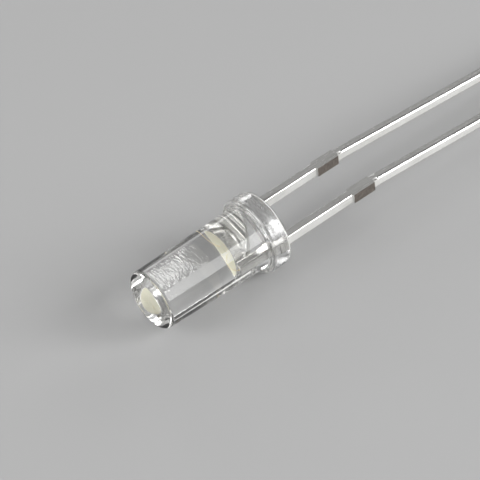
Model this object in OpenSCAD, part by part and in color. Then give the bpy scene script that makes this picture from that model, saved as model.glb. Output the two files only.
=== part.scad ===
// Clear round lamp with a dished end, two leads and a phosphor-filled reflector cup.
// Millimetres. Each piece is drawn upright about the lamp's own axis, with the seating
// plane at z = 0 and the anode lead on +x, and lie_down() then lays it on its side.

/* [Case] */
// Diameter of the flange at the seating end
flange_d = 3.8; // [3.7:0.05:4.3]
// Thickness of the flange
flange_h = 0.95; // [0.8:0.05:1.2]
// Distance from the axis to the flat that marks the cathode side
flat_reach = 1.72; // [1.66:0.02:1.84]
// Radius on the flange's front rim
flange_front_r = 0.14; // [0.08:0.02:0.3]
// Radius on the flange's seating rim
flange_back_r = 0.12; // [0.05:0.01:0.2]
// Fillet between the flange and the body
root_fillet = 0.1; // [0.05:0.01:0.15]
// Diameter of the body where it leaves the flange
body_d = 3.16; // [3.1:0.02:3.3]
// Diameter that the drafted body has at its tip
tip_d = 2.98; // [2.8:0.02:3.06]
// Height of the case from the seating plane to the tip
case_h = 6.75; // [5:0.05:9]
// Radius on the edge of the tip
tip_edge_r = 0.14; // [0.06:0.02:0.34]
// Diameter of the dish in the tip
dish_d = 2.5; // [1.6:0.05:2.6]
// Depth of the dish in the tip
dish_depth = 0.05; // [0.02:0.01:0.3]

/* [Leads] */
// Distance between the two leads' centres
pitch = 2.54; // [2.5:0.01:2.56]
// Width of a lead, across the lead frame
lead_w = 0.4; // [0.36:0.02:0.46]
// Thickness of the lead frame's sheet
sheet_t = 0.5; // [0.4:0.02:0.54]
// Length of the cathode lead below the seating plane
cathode_len = 25; // [15:0.5:30]
// Length that the anode lead has beyond the cathode lead
anode_extra = 1.5; // [0.5:0.1:3]
// Distance from the seating plane to the cut tie bar
tie_from = 4.15; // [2:0.05:6]
// Height of the cut tie bar along the lead
tie_h = 1.25; // [0.8:0.05:1.8]
// Length of tie bar left standing on each side of a lead
tie_stub = 0.08; // [0.02:0.01:0.2]
// Distance from the tie bar to the bend in the lead
bend_after_tie = 0.35; // [0.3:0.05:1]

/* [Lead frame inside the case] */
// Distance that each lead steps inwards as it enters the case
neck_step = 0.1; // [0.06:0.01:0.14]
// Height of that step above the seating plane
neck_z = 0.4; // [0.3:0.02:0.5]
// Height at which the anvil starts to spread from the cathode lead
anvil_z = 0.3; // [0.2:0.02:0.5]
// Reach of the anvil's shelf from the axis, towards the anode
anvil_reach = 0.74; // [0.5:0.02:0.76]
// Height of the shelf's tip
anvil_shelf_z = 1.86; // [1.7:0.02:2]
// Height of the cathode's bonding shoulder
shoulder_z = 2.36; // [2.3:0.02:2.44]
// Height of the anode post
post_z = 2.62; // [2.4:0.02:2.7]
// Height at which the anode post spreads towards the anvil
foot_z = 0.62; // [0.5:0.02:0.8]
// Distance from the axis to the inner edge of the anode post's foot
foot_reach = 0.86; // [0.8:0.02:0.92]
// Height at which the anode post steps back from the anvil
foot_top_z = 1; // [0.9:0.05:1.3]
// Gap between the cup's rim and the anode post
post_gap = 0.2; // [0.14:0.01:0.22]
// Depth of the coined grooves that key the lead frame into the resin
groove_depth = 0.05; // [0.02:0.005:0.06]
// Height of the lowest coined groove
groove_z = 0.72; // [0.6:0.02:0.8]
// Distance between the coined grooves
groove_step = 0.36; // [0.3:0.02:0.38]

/* [Reflector cup] */
// Height of the cup's rim above the seating plane
rim_z = 2.56; // [2.5:0.02:2.8]
// Outer diameter of the cup's rim
rim_d = 1.64; // [1.58:0.02:1.7]
// Width of the cup's rim
rim_w = 0.07; // [0.05:0.01:0.1]
// Depth of the cup
cup_depth = 0.42; // [0.36:0.02:0.48]
// Diameter of the cup's floor
cup_floor_d = 0.8; // [0.76:0.02:0.9]
// Diameter of the cup's underside
cup_base_d = 1.1; // [1.04:0.02:1.2]
// Thickness of metal under the cup's floor
cup_floor_t = 0.36; // [0.3:0.02:0.4]
// Shift of the cup off the axis, towards the cathode lead
cup_shift = 0.08; // [0.06:0.01:0.1]
// Dip of the middle of the phosphor's surface below the rim
phosphor_dip = 0.03; // [0.01:0.01:0.06]

/* [Die and wires] */
// Side of the square die
die_w = 0.38; // [0.3:0.02:0.42]
// Thickness of the die
die_t = 0.12; // [0.08:0.01:0.15]
// Thickness of the adhesive under the die
glue_t = 0.02; // [0.01:0.005:0.03]
// Distance that the adhesive spreads past the die
glue_spread = 0.05; // [0.02:0.01:0.06]
// Distance from the die's centre to each bond pad
pad_offset = 0.12; // [0.1:0.01:0.13]
// Diameter of the bond wires
wire_d = 0.025; // [0.02:0.005:0.04]
// Rise of a wire's loop above the line between its two bonds
wire_rise = 0.42; // [0.4:0.02:0.56]
// Diameter of the bonds at the wires' ends
bond_d = 0.09; // [0.07:0.01:0.11]
// Height of those bonds
bond_h = 0.03; // [0.02:0.005:0.04]

/* [Hidden] */
$fn = 72;

flange_r = flange_d / 2;
body_r = body_d / 2;
// The two radii on the flange's step share its width
step_w = flange_r - body_r;
front_r = min(flange_front_r, step_w / 2);
root_r = min(root_fillet, step_w / 2);
draft = atan2(body_r - tip_d / 2, case_h - flange_h);

lead_x = pitch / 2;
tie_end = tie_from + tie_h;
bend_z = -(tie_end + bend_after_tie);
anode_len = cathode_len + anode_extra;

rim_r = rim_d / 2;
cup_floor_z = rim_z - cup_depth;
cup_base_z = cup_floor_z - cup_floor_t;
shoulder_x = lead_x + lead_w / 2 - neck_step;
post_x = rim_r - cup_shift + post_gap;

glue_top_z = cup_floor_z + glue_t;
die_top_z = glue_top_z + die_t;

// Radius of the drafted body at height z
function body_radius(z) = body_r - (z - flange_h) * tan(draft);

// Angle that brings the lower corner of a lead's end down to the level of the flange's rim
function droop(len) =
    let (reach = len + bend_z, half = sheet_t / 2)
    asin(flange_r / norm([reach, half])) - atan2(half, reach);

// Height below the seating plane of the far corner of a lead's end
function end_z(len) =
    let (reach = len + bend_z)
    bend_z - reach * cos(droop(len)) - sheet_t / 2 * sin(droop(len));

// The lamp lies along X, tip at -X, on the flange's rim and the two leads' ends,
// with the origin under the middle of its bounding box
module lie_down() {
    translate([(case_h + end_z(anode_len)) / 2, (flange_r - flat_reach) / 2, flange_r])
        rotate([90, 0, -90])
            children();
}

// Outline of the case: flange, fillet, drafted body and rounded tip edge
module case_outline() {
    front_c = [flange_r - front_r, flange_h - front_r];
    back_c = [flange_r - flange_back_r, flange_back_r];
    tip_c = [body_radius(case_h - tip_edge_r) - tip_edge_r / cos(draft), case_h - tip_edge_r];
    root_c = [body_radius(flange_h + root_r) + root_r / cos(draft), flange_h + root_r];
    side = [cos(draft), sin(draft)];

    difference() {
        union() {
            polygon([
                [0, 0], [back_c.x, 0], back_c, [flange_r, back_c.y],
                [flange_r, front_c.y], front_c, [front_c.x, flange_h],
                [root_c.x, flange_h], root_c, root_c - root_r * side,
                tip_c + tip_edge_r * side, tip_c, [tip_c.x, case_h], [0, case_h]
            ]);
            translate(back_c) circle(flange_back_r);
            translate(front_c) circle(front_r);
            translate(tip_c) circle(tip_edge_r);
        }
        translate(root_c) circle(root_r);
    }
}

// The moulded resin without the hollows that its insides fill
module case_solid() {
    dish_r = (pow(dish_d / 2, 2) + pow(dish_depth, 2)) / (2 * dish_depth);
    difference() {
        rotate_extrude() case_outline();
        translate([-flange_r - flat_reach, -flange_r, -1])
            cube([flange_r, flange_d, case_h]);
        translate([0, 0, case_h - dish_depth + dish_r]) sphere(dish_r, $fn = 180);
    }
}

// A flat piece of the lead frame, from an outline of [x, z] points
module sheet(points) {
    rotate([90, 0, 0])
        translate([0, 0, -sheet_t / 2])
            linear_extrude(sheet_t) polygon(points);
}

// One lead from the seating plane to its end, with the cut tie bar and the bend
module lead(x, len) {
    translate([x, 0, 0]) {
        translate([-lead_w / 2, -sheet_t / 2, bend_z]) cube([lead_w, sheet_t, -bend_z]);
        translate([-lead_w / 2 - tie_stub, -sheet_t / 2, -tie_end])
            cube([lead_w + 2 * tie_stub, sheet_t, tie_h]);
        translate([-lead_w / 2, 0, bend_z]) rotate([0, 90, 0]) cylinder(h = lead_w, d = sheet_t);
        translate([0, 0, bend_z]) rotate([-droop(len), 0, 0])
            translate([-lead_w / 2, -sheet_t / 2, -len - bend_z]) cube([lead_w, sheet_t, len + bend_z]);
    }
}

// A coined groove across both broad faces, from x0 to x1 at height z
module groove(x0, x1, z) {
    for (side = [-1, 1])
        translate([x0, side * sheet_t / 2, z]) rotate([0, 90, 0]) rotate([0, 0, 45])
            translate([-groove_depth * sqrt(2) / 2, -groove_depth * sqrt(2) / 2, 0])
                cube([groove_depth * sqrt(2), groove_depth * sqrt(2), x1 - x0]);
}

// The cup's round head, pressed out of the top of the anvil
module cup_head() {
    translate([-cup_shift, 0, cup_base_z])
        cylinder(h = rim_z - cup_base_z, d1 = cup_base_d, d2 = rim_d);
}

// The hollow of the cup, up to height top
module cup_hollow(top) {
    rise = top - cup_floor_z;
    flare = (rim_r - rim_w - cup_floor_d / 2) / cup_depth;
    translate([-cup_shift, 0, cup_floor_z])
        cylinder(h = rise, r1 = cup_floor_d / 2, r2 = cup_floor_d / 2 + flare * rise);
}

// The cathode lead before its cup is hollowed
module cathode_blank() {
    outer = lead_x + lead_w / 2;
    inner = lead_x - lead_w / 2;
    difference() {
        union() {
            lead(-lead_x, cathode_len);
            sheet([
                [-outer, 0], [-outer, neck_z], [-shoulder_x, neck_z], [-shoulder_x, shoulder_z],
                [-cup_shift, shoulder_z], [anvil_reach, anvil_shelf_z + (rim_z - anvil_shelf_z) / 8],
                [anvil_reach, anvil_shelf_z], [-inner, anvil_z], [-inner, 0]
            ]);
            cup_head();
        }
        for (i = [0 : 2])
            groove(-shoulder_x - 1, anvil_reach, groove_z + i * groove_step);
    }
}

module cathode_lead() {
    color("silver") lie_down() difference() {
        cathode_blank();
        cup_hollow(rim_z + 1);
    }
}

module anode_lead_solid() {
    outer = lead_x + lead_w / 2;
    inner = lead_x - lead_w / 2;
    lead(lead_x, anode_len);
    sheet([
        [outer, 0], [outer, neck_z], [shoulder_x, neck_z], [shoulder_x, post_z],
        [post_x, post_z], [post_x, foot_top_z + post_x - foot_reach], [foot_reach, foot_top_z],
        [foot_reach, foot_z], [inner, foot_z - (inner - foot_reach)], [inner, 0]
    ]);
}

module anode_lead() {
    color("silver") lie_down() anode_lead_solid();
}

// The ball whose underside dishes the phosphor's surface
module dip_ball() {
    dip_r = (pow(rim_r, 2) + pow(phosphor_dip, 2)) / (2 * phosphor_dip);
    translate([-cup_shift, 0, rim_z - phosphor_dip + dip_r]) sphere(dip_r, $fn = 360);
}

module phosphor() {
    color("khaki") lie_down() difference() {
        cup_hollow(rim_z);
        dip_ball();
        die_attach_solid();
        die_solid();
        wire_solid(-1);
        wire_solid(1);
    }
}

module die_attach_solid() {
    spread = die_w + 2 * glue_spread;
    translate([-cup_shift - spread / 2, -spread / 2, cup_floor_z]) cube([spread, spread, glue_t]);
}

module die_attach() {
    color("gainsboro") lie_down() die_attach_solid();
}

module die_solid() {
    translate([-cup_shift - die_w / 2, -die_w / 2, glue_top_z]) cube([die_w, die_w, die_t]);
}

module die() {
    color("lightskyblue") lie_down() die_solid();
}

// A wire looped from its pad on the die to a shoulder: side is -1 for the cathode's
module wire_solid(side) {
    pad = [-cup_shift + side * pad_offset, die_top_z];
    land = side < 0 ? [-(shoulder_x + rim_r + cup_shift) / 2, shoulder_z]
        : [(shoulder_x + post_x) / 2, post_z];
    start = pad + [0, bond_h / 2];
    end = land + [0, bond_h / 2];
    chord = norm(end - start);
    loop_r = (pow(chord / 2, 2) + pow(wire_rise, 2)) / (2 * wire_rise);
    across = (end - start) / chord;
    above = side * [-across.y, across.x];
    centre = (start + end) / 2 + (wire_rise - loop_r) * above;
    from = atan2(start.y - centre.y, start.x - centre.x);
    sweep = 2 * acos((loop_r - wire_rise) / loop_r);

    translate([pad.x, 0, pad.y]) cylinder(h = bond_h, d = bond_d);
    translate([land.x, 0, land.y]) cylinder(h = bond_h, d = bond_d);
    translate([centre.x, 0, centre.y]) rotate([90, 0, 0])
        rotate([0, 0, side > 0 ? from - sweep : from])
            rotate_extrude(angle = sweep) translate([loop_r, 0]) circle(d = wire_d, $fn = 24);
}

module cathode_wire() {
    color("gold") lie_down() wire_solid(-1);
}

module anode_wire() {
    color("gold") lie_down() wire_solid(1);
}

// The resin, with its hollows cut by the same solids that fill them. The filled cup is cut as
// one solid, and the resin reaches into it only where the phosphor's surface is dished.
module case() {
    color([0.85, 0.9, 0.9, 0.35]) lie_down() difference() {
        case_solid();
        difference() {
            cathode_blank();
            intersection() {
                cup_hollow(rim_z + 1);
                dip_ball();
            }
        }
        anode_lead_solid();
        wire_solid(-1);
        wire_solid(1);
    }
}

case();
cathode_lead();
anode_lead();
phosphor();
die();
die_attach();
cathode_wire();
anode_wire();
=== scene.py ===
import math

import bmesh
import bpy
from mathutils import Matrix, Vector


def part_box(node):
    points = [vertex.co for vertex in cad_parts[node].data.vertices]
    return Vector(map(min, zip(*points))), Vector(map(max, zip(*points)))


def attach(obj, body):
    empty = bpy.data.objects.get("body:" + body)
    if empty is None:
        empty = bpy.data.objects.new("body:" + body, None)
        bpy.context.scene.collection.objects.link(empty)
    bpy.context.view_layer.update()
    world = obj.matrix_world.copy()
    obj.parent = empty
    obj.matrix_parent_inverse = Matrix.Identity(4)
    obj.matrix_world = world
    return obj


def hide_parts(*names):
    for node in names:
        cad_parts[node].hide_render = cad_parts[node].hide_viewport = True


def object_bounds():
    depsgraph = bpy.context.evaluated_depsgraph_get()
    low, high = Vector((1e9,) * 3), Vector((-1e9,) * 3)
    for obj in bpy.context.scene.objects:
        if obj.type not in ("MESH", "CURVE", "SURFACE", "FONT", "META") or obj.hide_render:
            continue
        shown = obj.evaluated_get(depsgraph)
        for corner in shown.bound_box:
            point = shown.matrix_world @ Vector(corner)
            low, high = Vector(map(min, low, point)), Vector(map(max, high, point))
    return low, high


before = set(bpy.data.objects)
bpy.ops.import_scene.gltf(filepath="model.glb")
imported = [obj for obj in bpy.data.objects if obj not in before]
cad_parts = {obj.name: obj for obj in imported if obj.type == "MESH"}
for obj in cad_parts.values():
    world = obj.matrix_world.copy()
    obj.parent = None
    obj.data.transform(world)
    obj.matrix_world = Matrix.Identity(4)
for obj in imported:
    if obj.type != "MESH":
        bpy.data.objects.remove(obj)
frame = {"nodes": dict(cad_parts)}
cadLow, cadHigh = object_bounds()
print("frame loaded:", ", ".join(frame["nodes"]))

mm = 0.001

# how close two points count as one, touch a line or plane, and lie on a cut, in metres
weldDistance = 2e-7
touchDistance = 1e-6
cutDistance = 1e-8
flatAngle = math.radians(0.3)

# the lamp lies along X with its tip at the low end, resting on the flange and both lead ends
caseLow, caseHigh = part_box("case")
tipX, seatX = caseLow.x, caseHigh.x
flangeRadius = (caseHigh.z - caseLow.z) / 2
axisY = caseLow.y + flangeRadius
axisZ = caseLow.z + flangeRadius
seatCentre = Vector((seatX, axisY, axisZ))


def lampToFrame():
    # in lamp space +z points at the tip, -x at the flat, and the seating plane is z = 0
    turn = Matrix(((0, 0, -1), (-1, 0, 0), (0, 1, 0))).to_4x4()
    return Matrix.Translation(seatCentre) @ turn


# mesh helpers
def newObject(name, bm):
    mesh = bpy.data.meshes.new(name)
    bm.to_mesh(mesh)
    bm.free()
    made = bpy.data.objects.new(name, mesh)
    bpy.context.scene.collection.objects.link(made)
    return made


def mergedCopy(node):
    # the frame's own mesh is loose triangles, so a copy is welded and its flat faces joined up
    bm = bmesh.new()
    bm.from_mesh(frame["nodes"][node].data)
    bmesh.ops.remove_doubles(bm, verts=bm.verts, dist=weldDistance)
    bmesh.ops.dissolve_limit(bm, angle_limit=flatAngle, verts=bm.verts, edges=bm.edges,
                             use_dissolve_boundaries=False)
    return bm


def bevelEdges(bm, edges, size, steps):
    bmesh.ops.bevel(bm, geom=edges, offset=size, affect="EDGES", segments=steps, profile=0.5,
                    material=-1, offset_type="OFFSET")


def cutAcross(bm, point, normal, clearOuter=False):
    everything = bm.verts[:] + bm.edges[:] + bm.faces[:]
    cut = bmesh.ops.bisect_plane(bm, geom=everything, dist=cutDistance, plane_co=point, plane_no=normal,
                                 clear_outer=clearOuter)
    return [e for e in cut["geom_cut"] if isinstance(e, bmesh.types.BMEdge)]


def finishPiece(made, node, material, sharp=35):
    made.data.shade_smooth()
    made.data.set_sharp_from_angle(angle=math.radians(sharp))
    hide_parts(node)
    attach(made, "root")
    made.data.materials.clear()
    made.data.materials.append(material)


# shader helpers
def startMaterial(name):
    material = bpy.data.materials.new(name)
    material.use_nodes = True
    tree = material.node_tree
    shader = next(n for n in tree.nodes if n.type == "BSDF_PRINCIPLED")
    return material, tree, shader


def addNode(tree, kind, links=None, **values):
    node = tree.nodes.new(kind)
    for name, value in values.items():
        if hasattr(node, name):
            setattr(node, name, value)
        else:
            node.inputs[name.replace("_", " ")].default_value = value
    for name, source in (links or {}).items():
        tree.links.new(source, node.inputs[name])
    return node


def setColor(socket, color):
    socket.default_value = (*color, 1)


def feed(tree, socket, value):
    # a number or colour is set on the socket, anything else is linked to it
    if isinstance(value, tuple):
        setColor(socket, value)
    elif isinstance(value, (int, float)):
        socket.default_value = value
    else:
        tree.links.new(value, socket)


def mathNode(tree, operation, *values):
    node = tree.nodes.new("ShaderNodeMath")
    node.operation = operation
    for socket, value in zip(node.inputs, values):
        feed(tree, socket, value)
    return node.outputs[0]


def mapNode(tree, value, fromLow, fromHigh, toLow=0.0, toHigh=1.0):
    node = tree.nodes.new("ShaderNodeMapRange")
    for name, number in (("Value", value), ("From Min", fromLow), ("From Max", fromHigh),
                         ("To Min", toLow), ("To Max", toHigh)):
        feed(tree, node.inputs[name], number)
    return node.outputs["Result"]


def mixColor(tree, factor, first, second):
    node = tree.nodes.new("ShaderNodeMix")
    node.data_type = "RGBA"
    for socket, value in ((node.inputs[0], factor), (node.inputs[6], first), (node.inputs[7], second)):
        feed(tree, socket, value)
    return node.outputs[2]


def bumpInto(tree, shader, height, depth):
    # a height of 1 stands the given depth in millimetres above the surface
    bump = addNode(tree, "ShaderNodeBump", {"Height": height}, Strength=1.0, Distance=depth * mm)
    tree.links.new(bump.outputs["Normal"], shader.inputs["Normal"])


# effects that several finishes share, with every Size in millimetres
def startGroup(name, inputs):
    tree = bpy.data.node_groups.new(name, "ShaderNodeTree")
    for label, kind, value in inputs:
        socket = tree.interface.new_socket(label, in_out="INPUT", socket_type="NodeSocket" + kind)
        socket.default_value = value
    tree.interface.new_socket("Mask", in_out="OUTPUT", socket_type="NodeSocketFloat")
    return tree, tree.nodes.new("NodeGroupInput").outputs, tree.nodes.new("NodeGroupOutput").inputs


patternInputs = [("Stretch", "Vector", (1, 1, 1)), ("Turn", "Vector", (0, 0, 0)),
                 ("Size", "Float", 1.0), ("Detail", "Float", 3.0)]
noiseRoughness = 0.55
noiseMiddle = 0.5


def stretchedNoise(tree, given):
    # features are longer along an axis whose Stretch is under 1
    place = tree.nodes.new("ShaderNodeTexCoord")
    mapping = addNode(tree, "ShaderNodeMapping", {
        "Vector": place.outputs["Object"],
        "Rotation": given["Turn"],
        "Scale": given["Stretch"],
    })
    noise = addNode(tree, "ShaderNodeTexNoise", {
        "Vector": mapping.outputs["Vector"],
        "Scale": mathNode(tree, "DIVIDE", 1 / mm, given["Size"]),
        "Detail": given["Detail"],
    }, Roughness=noiseRoughness)
    return noise.outputs["Fac"]


def makeGrainGroup():
    # soft patches, cut between the Low and High levels of the noise
    levels = [("Low", "Float", 0.3), ("High", "Float", 0.7)]
    tree, given, result = startGroup("grain", patternInputs + levels)
    mask = mapNode(tree, stretchedNoise(tree, given), given["Low"], given["High"])
    tree.links.new(mask, result["Mask"])
    return tree


def makeHairlineGroup():
    # thin lines where the noise passes its middle level
    tree, given, result = startGroup("hairlines", patternInputs + [("Width", "Float", 0.01)])
    away = mathNode(tree, "ABSOLUTE", mathNode(tree, "SUBTRACT", stretchedNoise(tree, given), noiseMiddle))
    tree.links.new(mapNode(tree, away, 0.0, given["Width"], 1.0, 0.0), result["Mask"])
    return tree


grainGroup = makeGrainGroup()
hairlineGroup = makeHairlineGroup()


def effect(tree, group, **values):
    node = tree.nodes.new("ShaderNodeGroup")
    node.node_tree = group
    for name, value in values.items():
        node.inputs[name].default_value = value
    return node.outputs["Mask"]


# the clear case
caseShape = {
    "flangeHeight": 0.95 * mm,
    "flangeFront": 0.16 * mm,  # rounding of the rim towards the tip
    "flangeBack": 0.12 * mm,  # and towards the leads
    "root": 0.1 * mm,  # fillet between flange and body
    "bodyRadius": 1.58 * mm,
    "tipRadius": 1.49 * mm,
    "tipEdge": 0.14 * mm,
    "dishRadius": 1.25 * mm,
    "dishDepth": 0.05 * mm,
    "dishLip": 0.03 * mm,
    "flatReach": 1.72 * mm,  # from the axis to the flat
    "leadX": 1.27 * mm,  # from the axis to a lead's middle
    "leadHalf": (0.2 * mm, 0.25 * mm),  # half its width and thickness
    "creepHeight": 0.12 * mm,
    "creepReach": 0.16 * mm,
    "creepPower": 1.3,
    "creepFall": 2.2,
    "creepMargin": 0.1 * mm,  # the rim's edge stays as it is
    "mattFrom": 1.45 * mm,  # where the milky ring starts
    "mattFacing": 0.25,
    "steps": 256,
    "edgeSteps": 8,
    "seatRings": 40,
    "dishRings": 16,
}


def caseProfile(height):
    # from the middle of the seating face out round the flange, along the body and down into the dish
    shape = caseShape
    seatStep = flangeRadius / shape["seatRings"]
    corners = [(seatStep * i, 0) for i in range(shape["seatRings"] + 1)]
    corners += [
        (flangeRadius, shape["flangeHeight"]),
        (shape["bodyRadius"], shape["flangeHeight"]),
        (shape["tipRadius"], height),
    ]
    bottom = height - shape["dishDepth"]
    curve = (shape["dishRadius"] ** 2 + shape["dishDepth"] ** 2) / (2 * shape["dishDepth"])
    for i in range(shape["dishRings"] + 1):
        r = shape["dishRadius"] * (1 - i / shape["dishRings"])
        corners.append((r, bottom + curve - math.sqrt(curve ** 2 - r ** 2)))
    return corners


def makeCase():
    shape = caseShape
    height = seatX - tipX
    bm = bmesh.new()
    ring = [bm.verts.new((r, 0, z)) for r, z in caseProfile(height)]
    edges = [bm.edges.new(pair) for pair in zip(ring, ring[1:])]
    bmesh.ops.spin(bm, geom=ring + edges, cent=(0, 0, 0), axis=(0, 0, 1), angle=math.tau,
                   steps=shape["steps"], use_merge=True)
    bmesh.ops.remove_doubles(bm, verts=bm.verts, dist=weldDistance)

    def roundEdge(radius, z, size):
        def onEdge(v):
            return abs(v.co.xy.length - radius) < touchDistance and abs(v.co.z - z) < touchDistance

        near = [e for e in bm.edges if all(onEdge(v) for v in e.verts)]
        bevelEdges(bm, near, size, shape["edgeSteps"])

    roundEdge(flangeRadius, 0, shape["flangeBack"])
    roundEdge(flangeRadius, shape["flangeHeight"], shape["flangeFront"])
    roundEdge(shape["bodyRadius"], shape["flangeHeight"], shape["root"])
    roundEdge(shape["tipRadius"], height, shape["tipEdge"])
    roundEdge(shape["dishRadius"], height, shape["dishLip"])
    # resin creeps a little way out along each lead
    for v in bm.verts:
        if v.co.z > touchDistance or v.co.xy.length > flangeRadius - shape["creepMargin"]:
            continue
        aside = max(abs(abs(v.co.x) - shape["leadX"]) - shape["leadHalf"][0], 0)
        above = max(abs(v.co.y) - shape["leadHalf"][1], 0)
        away = Vector((aside, above)).length / shape["creepReach"]
        v.co.z -= shape["creepHeight"] * math.exp(-shape["creepFall"] * away ** shape["creepPower"])
    # the flat on the cathode side
    rim = cutAcross(bm, (-shape["flatReach"], 0, 0), (-1, 0, 0), clearOuter=True)
    bmesh.ops.edgenet_fill(bm, edges=rim)
    bmesh.ops.recalc_face_normals(bm, faces=bm.faces)
    bm.transform(lampToFrame())
    made = newObject("clearCase", bm)
    finishPiece(made, "case", resinMaterial())
    made.data.materials.append(mattResinMaterial())
    for face in made.data.polygons:
        away = math.hypot(face.center.y - axisY, face.center.z - axisZ)
        matt = face.normal.x > shape["mattFacing"] and away > shape["mattFrom"]
        face.material_index = 1 if matt else 0
    print("clear case:", len(made.data.polygons), "faces")


resinIor = 1.53
resinLook = {
    "tint": (0.985, 0.985, 0.975),
    "roughness": 0.015,
    "frosted": 0.3,
    "frostDepth": 0.1 * mm,
    "frostPatchy": 0.5,
    "hazeRoughness": 0.35,
    "hazeIor": 3.0,
    "scuffTurn": math.radians(14),
    "scuffSpread": math.radians(24),
    "scuffFade": 0.08 * mm,
    "scuffEnd": 2.6 * mm,
    "scuffRagged": 0.8 * mm,
    "scuffSize": 0.1,
    "scuffRoughness": 0.03,
    "scuffDepth": 0.013,  # millimetres, as bumpDepth is
    "scratchHeight": -0.15,  # times bumpDepth, as swellHeight is
    "swellHeight": 0.5,
    "bumpDepth": 0.006,
}


def scuffMarks(tree, x, y, z):
    # short marks run round the upper side of the tip's half
    look = resinLook
    lean = mathNode(tree, "MULTIPLY", mathNode(tree, "SUBTRACT", y, axisY), -math.sin(look["scuffTurn"]))
    rise = mathNode(tree, "SUBTRACT", z, axisZ)
    over = mathNode(tree, "MULTIPLY_ADD", rise, math.cos(look["scuffTurn"]), lean)
    edge = caseShape["tipRadius"] * math.cos(look["scuffSpread"])
    over = mapNode(tree, over, edge, edge + look["scuffFade"])
    ragged = effect(tree, grainGroup, Stretch=(0.5, 1, 1), Size=0.4, Low=0.35, High=0.65)
    shortest = tipX + look["scuffEnd"] - look["scuffRagged"] / 2
    reach = mathNode(tree, "MULTIPLY_ADD", ragged, look["scuffRagged"], shortest)
    along = mathNode(tree, "LESS_THAN", x, reach)
    patches = effect(tree, grainGroup, Size=0.6, Low=0.2, High=0.4)
    mask = mathNode(tree, "MULTIPLY", mathNode(tree, "MULTIPLY", over, along), patches)
    marks = effect(tree, grainGroup, Stretch=(1, 0.3, 0.3), Size=look["scuffSize"], Detail=1.0,
                   Low=0.4, High=0.62)
    return mathNode(tree, "MULTIPLY", marks, mask)


def resinMaterial():
    look = resinLook
    material, tree, shader = startMaterial("clearResin")
    setColor(shader.inputs["Base Color"], look["tint"])
    shader.inputs["Transmission Weight"].default_value = 1
    shader.inputs["IOR"].default_value = resinIor
    place = tree.nodes.new("ShaderNodeTexCoord")
    x, y, z = addNode(tree, "ShaderNodeSeparateXYZ", {"Vector": place.outputs["Object"]}).outputs
    # the resin clouds over towards the seating face
    rim = mapNode(tree, x, seatX - look["frostDepth"], seatX)
    cloudy = effect(tree, grainGroup, Size=0.3, Low=0.2, High=0.8)
    cloudy = mathNode(tree, "MULTIPLY_ADD", cloudy, look["frostPatchy"], 1 - look["frostPatchy"])
    frost = mathNode(tree, "MULTIPLY", rim, cloudy)
    marks = scuffMarks(tree, x, y, z)
    rough = mathNode(tree, "MULTIPLY_ADD", frost, look["frosted"], look["roughness"])
    rough = mathNode(tree, "MULTIPLY_ADD", marks, look["scuffRoughness"], rough)
    tree.links.new(rough, shader.inputs["Roughness"])
    # a dull haze of rubbed streaks lies round the flange
    onFlange = mathNode(tree, "GREATER_THAN", x, seatX - caseShape["flangeHeight"])
    rubbed = effect(tree, grainGroup, Stretch=(1, 0.35, 0.35), Size=0.3, Detail=5.0, Low=0.35, High=0.6)
    tree.links.new(mathNode(tree, "MULTIPLY", onFlange, rubbed), shader.inputs["Coat Weight"])
    shader.inputs["Coat Roughness"].default_value = look["hazeRoughness"]
    shader.inputs["Coat IOR"].default_value = look["hazeIor"]
    # the scuffs stand up, a few fine scratches cut in, and the moulded skin swells softly
    scratch = effect(tree, hairlineGroup, Stretch=(0.3, 1, 1), Turn=(0.4, 0.3, 0.9), Size=2.5, Width=0.0016)
    swell = effect(tree, grainGroup, Size=1.1, Low=0, High=1)
    height = mathNode(tree, "MULTIPLY", marks, look["scuffDepth"] / look["bumpDepth"])
    height = mathNode(tree, "MULTIPLY_ADD", scratch, look["scratchHeight"], height)
    height = mathNode(tree, "MULTIPLY_ADD", swell, look["swellHeight"], height)
    bumpInto(tree, shader, height, look["bumpDepth"])
    return material


mattLook = {
    "low": (0.86, 0.86, 0.84),
    "high": (0.97, 0.97, 0.95),
    "clear": 0.3,
    "roughness": 0.6,
    "bumpDepth": 0.01,
}


def mattResinMaterial():
    # the outer ring of the seating face set in the open air and stayed milky
    look = mattLook
    material, tree, shader = startMaterial("mattResin")
    cloudy = effect(tree, grainGroup, Size=0.25, Detail=4.0, Low=0.3, High=0.7)
    tree.links.new(mixColor(tree, cloudy, look["low"], look["high"]), shader.inputs["Base Color"])
    shader.inputs["Transmission Weight"].default_value = look["clear"]
    shader.inputs["IOR"].default_value = resinIor
    shader.inputs["Roughness"].default_value = look["roughness"]
    bumpInto(tree, shader, cloudy, look["bumpDepth"])
    return material


# the stamped lead frame
leadShape = {
    "tieFrom": 4.15 * mm,
    "tieHeight": 1.25 * mm,
    "tieGap": 0.02 * mm,  # the rounding stops two of these from the tie bar
    "rolledSide": -1,  # along Y
    "rollBeforeTie": 0.08 * mm,
    "rollAfterTie": 0.13 * mm,
    "rollSteps": 5,
    "burrCorner": 0.02 * mm,
    "innerCorner": 0.025 * mm,
    "innerDepth": 0.15 * mm,  # how far the outer rounding runs on into the resin
    "fineSteps": 2,
    "shortestEdge": 0.25 * mm,  # shorter ones are rounded only where they run along the lead
    "straightEdge": 0.98,
    "sharpFold": 1.0,  # radians
    "edgeFacing": 0.5,  # how far a normal leans to one side before its edge, cut or side counts
    "cutFacing": 0.9,
    "sideFacing": 0.82,
    "endFrom": 5 * mm,
    "flatWeight": 100,
}


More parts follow.
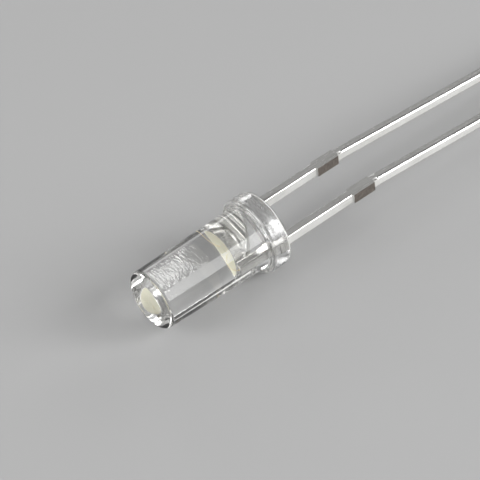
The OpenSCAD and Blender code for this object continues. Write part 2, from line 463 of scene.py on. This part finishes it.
def makeLead(node, name, material):
    shape = leadShape
    bm = mergedCopy(node)
    inside = seatX - shape["innerDepth"]
    tieStart = seatX + shape["tieFrom"]
    tieEnd = tieStart + shape["tieHeight"]
    beforeTie = tieStart - 2 * shape["tieGap"]
    afterTie = tieEnd + 2 * shape["tieGap"]

    def roundEdges(fromX, toX, size, steps, side=0):
        # side -1 or 1 takes only the edges that face that way along Y
        chosen = []
        for e in bm.edges:
            a, b = e.verts[0].co, e.verts[1].co
            within = min(a.x, b.x) > fromX - touchDistance and max(a.x, b.x) < toX + touchDistance
            straight = abs((a - b).normalized().x) > shape["straightEdge"]
            long = straight or e.calc_length() > shape["shortestEdge"]
            facing = side == 0 or sum(f.normal.y for f in e.link_faces) * side > shape["edgeFacing"]
            sharp = len(e.link_faces) == 2 and e.calc_face_angle(0) > shape["sharpFold"]
            if within and long and facing and sharp:
                chosen.append(e)
        bevelEdges(bm, chosen, size, steps)

    # cuts where the rounding changes size, just inside the resin and on each side of the tie bar
    for x in (inside, beforeTie, beforeTie + shape["tieGap"], afterTie - shape["tieGap"], afterTie):
        cutAcross(bm, (x, 0, 0), (1, 0, 0))
    roundEdges(caseLow.x, inside, shape["innerCorner"], shape["fineSteps"])
    # the punch rolled the edges over on one side and left them sharper on the other
    rolled, burred = shape["rolledSide"], -shape["rolledSide"]
    roundEdges(inside, beforeTie, shape["rollBeforeTie"], shape["rollSteps"], rolled)
    roundEdges(afterTie, cadHigh.x, shape["rollAfterTie"], shape["rollSteps"], rolled)
    roundEdges(inside, beforeTie, shape["burrCorner"], shape["fineSteps"], burred)
    roundEdges(afterTie, cadHigh.x, shape["burrCorner"], shape["fineSteps"], burred)
    bmesh.ops.recalc_face_normals(bm, faces=bm.faces)
    # sheared faces are bare: the cut tie bar and the lead's end; stamped sides are duller than the top
    bare = bm.faces.layers.float.new("sheared")
    dull = bm.faces.layers.float.new("stamped")
    for f in bm.faces:
        middle = f.calc_center_median()
        stub = tieStart < middle.x < tieEnd and abs(f.normal.y) > shape["cutFacing"]
        end = abs(f.normal.x) > shape["cutFacing"] and middle.x > tieEnd + shape["endFrom"]
        f[bare] = 1.0 if stub or end else 0.0
        f[dull] = 1.0 if abs(f.normal.y) > shape["sideFacing"] and middle.x > seatX else 0.0
    made = newObject(name, bm)
    finishPiece(made, node, material, sharp=40)
    shading = made.modifiers.new("flatFaces", "WEIGHTED_NORMAL")
    shading.keep_sharp = True
    shading.weight = shape["flatWeight"]
    print(name + ":", len(made.data.polygons), "faces")


platingLook = {
    "bright": (0.92, 0.915, 0.89),
    "tarnished": (0.70, 0.69, 0.66),
    "bareLow": (0.10, 0.088, 0.078),
    "bareHigh": (0.24, 0.21, 0.185),
    "roughness": 0.16,
    "streakRoughness": 0.14,
    "stampedRoughness": 0.25,
    "stampedMetallic": 0.5,
    "shearedRoughness": 0.3,
    "gritHeight": 3.0,
    "handlingHeight": -0.6,
    "bumpDepth": 0.0008,
}


def platedMaterial():
    look = platingLook
    material, tree, shader = startMaterial("platedMetal")
    streak = effect(tree, grainGroup, Stretch=(0.05, 1, 1), Size=0.05, Low=0.25, High=0.75)
    cloud = effect(tree, grainGroup, Stretch=(0.5, 1, 1), Size=0.7, Low=0.35, High=0.7)
    grit = effect(tree, grainGroup, Size=0.12, Detail=5.0, Low=0.3, High=0.7)
    handling = effect(tree, hairlineGroup, Stretch=(0.15, 1, 1), Turn=(0.0, 0.1, 0.15), Size=0.5,
                      Width=0.006)
    sheared = addNode(tree, "ShaderNodeAttribute", attribute_name="sheared").outputs["Fac"]
    stamped = addNode(tree, "ShaderNodeAttribute", attribute_name="stamped").outputs["Fac"]
    # bright tin with tarnish in streaks and clouds, and darker grainy metal where it was sheared
    tone = mixColor(tree, mathNode(tree, "MULTIPLY", streak, cloud), look["bright"], look["tarnished"])
    bare = mixColor(tree, grit, look["bareLow"], look["bareHigh"])
    tree.links.new(mixColor(tree, sheared, tone, bare), shader.inputs["Base Color"])
    metallic = mathNode(tree, "MULTIPLY_ADD", stamped, look["stampedMetallic"] - 1, 1.0)
    tree.links.new(metallic, shader.inputs["Metallic"])
    rough = mathNode(tree, "MULTIPLY_ADD", streak, look["streakRoughness"], look["roughness"])
    rough = mathNode(tree, "MULTIPLY_ADD", stamped, look["stampedRoughness"], rough)
    rough = mathNode(tree, "MULTIPLY_ADD", sheared, look["shearedRoughness"], rough)
    tree.links.new(rough, shader.inputs["Roughness"])
    torn = mathNode(tree, "MULTIPLY", grit, sheared)
    height = mathNode(tree, "MULTIPLY_ADD", torn, look["gritHeight"], streak)
    height = mathNode(tree, "MULTIPLY_ADD", handling, look["handlingHeight"], height)
    bumpInto(tree, shader, height, look["bumpDepth"])
    return material


# the filling of the cup and the fine pieces in it, with each grain in millimetres
phosphorLook = {
    "low": (0.90, 0.87, 0.67),
    "high": (0.96, 0.94, 0.78),
    "grain": 0.04,
    "roughness": 0.6,
    "metallic": 0,
}
dieLook = {
    "low": (0.42, 0.52, 0.62),
    "high": (0.6, 0.7, 0.8),
    "grain": 0.05,
    "roughness": 0.2,
    "metallic": 0,
}
adhesiveLook = {
    "low": (0.5, 0.5, 0.48),
    "high": (0.7, 0.7, 0.68),
    "grain": 0.02,
    "roughness": 0.4,
    "metallic": 0,
}
goldLook = {
    "low": (0.95, 0.8, 0.5),
    "high": (1.0, 0.87, 0.58),
    "grain": 0.02,
    "roughness": 0.3,
    "metallic": 1,
}
grainWidth = 30  # a grain is this many times as wide as it is high


def grainyMaterial(name, look):
    material, tree, shader = startMaterial(name)
    grain = effect(tree, grainGroup, Size=look["grain"], Detail=4.0, Low=0.35, High=0.65)
    tree.links.new(mixColor(tree, grain, look["low"], look["high"]), shader.inputs["Base Color"])
    shader.inputs["Roughness"].default_value = look["roughness"]
    shader.inputs["Metallic"].default_value = look["metallic"]
    bumpInto(tree, shader, grain, look["grain"] / grainWidth)
    return material


def dress(node, material):
    # the frame's own piece keeps its shape and gets a better finish
    piece = frame["nodes"][node]
    piece.data.materials.clear()
    piece.data.materials.append(material)


makeCase()
plated = platedMaterial()
makeLead("cathode_lead", "cathodeLead", plated)
makeLead("anode_lead", "anodeLead", plated)

fill = newObject("phosphorFill", mergedCopy("phosphor"))
finishPiece(fill, "phosphor", grainyMaterial("phosphorFill", phosphorLook), sharp=30)
dress("die", grainyMaterial("dieCrystal", dieLook))
dress("die_attach", grainyMaterial("dieAdhesive", adhesiveLook))
goldWire = grainyMaterial("goldWire", goldLook)
dress("cathode_wire", goldWire)
dress("anode_wire", goldWire)
print("phosphor, die and wires finished")


def placeFacing(made, centre, azimuth, elevation, distance, roll=0):
    # azimuth 0 is straight in front, and made looks back at the centre
    a, e = math.radians(azimuth), math.radians(elevation)
    away = Vector((math.sin(a) * math.cos(e), -math.cos(a) * math.cos(e), math.sin(e)))
    turn = (-away).to_track_quat("-Z", "Y")
    made.location = centre + away * distance
    made.rotation_mode = "QUATERNION"
    made.rotation_quaternion = turn @ Matrix.Rotation(math.radians(-roll), 4, "Z").to_quaternion()
    bpy.context.scene.collection.objects.link(made)


# the camera looks down past the tip along the leads
cameraSet = {
    "azimuth": -36.0,
    "elevation": 43.2,
    "roll": 6.5,
    "distance": 250 * mm,
    "framedWidth": 21.85 * mm,
    "aim": (-1.103 * mm, 0.428 * mm, -0.324 * mm),
    "sensor": 36,
    "clip": (0.01, 10),
}


def makeCamera():
    c = cameraSet
    data = bpy.data.cameras.new("camera")
    data.sensor_width = c["sensor"]
    data.lens = c["sensor"] * c["distance"] / c["framedWidth"]
    data.clip_start, data.clip_end = c["clip"]
    camera = bpy.data.objects.new("camera", data)
    centre = seatCentre + Vector(c["aim"])
    placeFacing(camera, centre, c["azimuth"], c["elevation"], c["distance"], c["roll"])
    bpy.context.scene.camera = camera
    print("camera placed")


makeCamera()

studio = {
    "floorColor": (0.41, 0.41, 0.41),
    "floorRoughness": 0.8,
    "floorRadius": 2,
    "floorSides": 96,
    "worldColor": (0.12, 0.12, 0.12),
    "lampDistance": 0.4,
    "lamps": [
        # name, azimuth, elevation, width and height in metres, radiance
        ("frontSoftbox", 23, 30, (0.2, 0.26), 5.0),
        ("patchPanel", 44, 28, (0.1, 0.17), 10.0),
        ("glintStrip", 54, 12, (0.14, 0.07), 5.0),
        ("tipPanel", 262, 23, (0.42, 0.28), 4.4),
        ("backStrip", 162, 17, (0.08, 0.08), 2.6),
        ("flangeStrip", 153, 17, (0.04, 0.12), 5.0),
        ("leadPanel", 146, 43, (0.22, 0.2), 0.2),
        ("lowStrip", 138, 12, (0.14, 0.07), 1.0),
        ("seatPanel", 105, 20, (0.3, 0.16), 2.5),
        ("rimStrip", 212, 13, (0.16, 0.1), 3.0),
        ("topPanel", 250, 76, (0.2, 0.2), 1.0),
        ("sidePanel", 330, 53, (0.14, 0.14), 2.0),
    ],
}


def makeFloor():
    bm = bmesh.new()
    bmesh.ops.create_circle(bm, cap_ends=True, segments=studio["floorSides"], radius=studio["floorRadius"])
    floor = newObject("floor", bm)
    material, _, shader = startMaterial("paleFloor")
    setColor(shader.inputs["Base Color"], studio["floorColor"])
    shader.inputs["Roughness"].default_value = studio["floorRoughness"]
    floor.data.materials.append(material)


def addLamp(name, azimuth, elevation, size, radiance):
    data = bpy.data.lights.new(name, "AREA")
    data.shape = "RECTANGLE"
    data.size, data.size_y = size
    data.energy = radiance * math.pi * size[0] * size[1]
    lamp = bpy.data.objects.new(name, data)
    placeFacing(lamp, seatCentre, azimuth, elevation, studio["lampDistance"])


def makeWorld():
    world = bpy.data.worlds.new("world")
    world.use_nodes = True
    setColor(world.node_tree.nodes["Background"].inputs["Color"], studio["worldColor"])
    bpy.context.scene.world = world
    bpy.context.scene.view_settings.view_transform = "Standard"


makeFloor()
for lampRow in studio["lamps"]:
    addLamp(*lampRow)
makeWorld()
print("floor, lamps and world placed")
